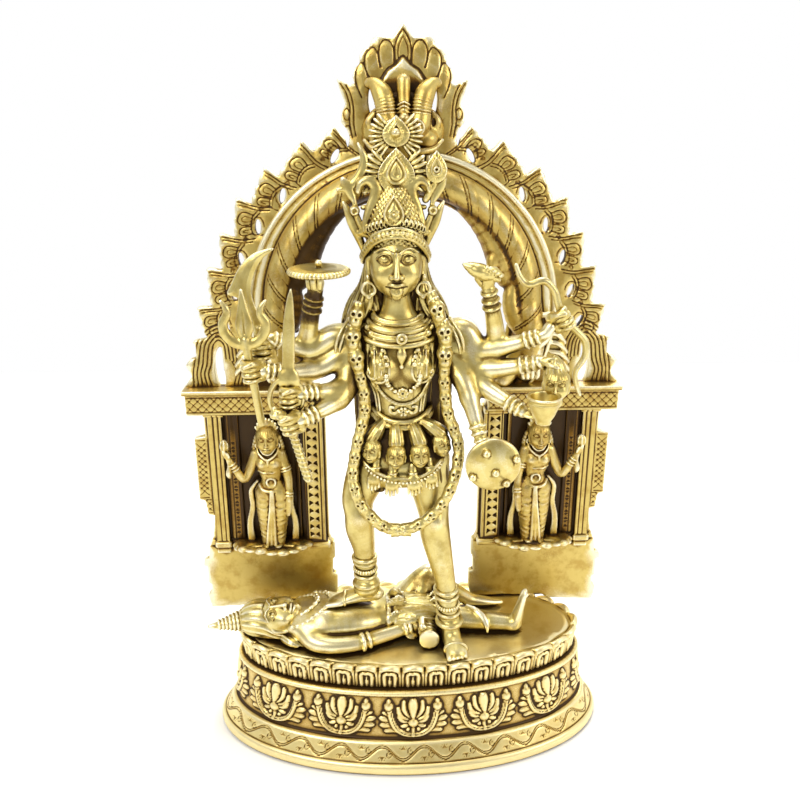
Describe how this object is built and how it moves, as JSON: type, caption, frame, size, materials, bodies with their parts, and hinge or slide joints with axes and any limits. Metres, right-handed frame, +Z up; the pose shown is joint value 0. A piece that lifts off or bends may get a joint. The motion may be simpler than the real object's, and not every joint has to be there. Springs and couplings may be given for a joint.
{
  "type": "cast figure group on a plinth",
  "caption": "Cast brass statue of a many-armed standing goddess on a reclining figure, on an oval lotus plinth in front of a pierced flaming arch.",
  "frame": {"origin": "centre of the plinth's flat underside", "axes": "+Z up, -Y towards the viewer, +X to the viewer's right"},
  "size_m": [0.398, 0.19, 0.6293],
  "materials": {
    "antique_brass": "polished cast brass, dark brown patina in the hollows"
  },
  "bodies": {
    "root": {"plinth": "antique_brass", "reclining_figure": "antique_brass", "goddess": "antique_brass", "arch": "antique_brass", "trident": "antique_brass", "sword": "antique_brass", "cleaver": "antique_brass", "mace": "antique_brass", "bow": "antique_brass", "discus": "antique_brass", "bowl": "antique_brass"}
  },
  "joints": []
}
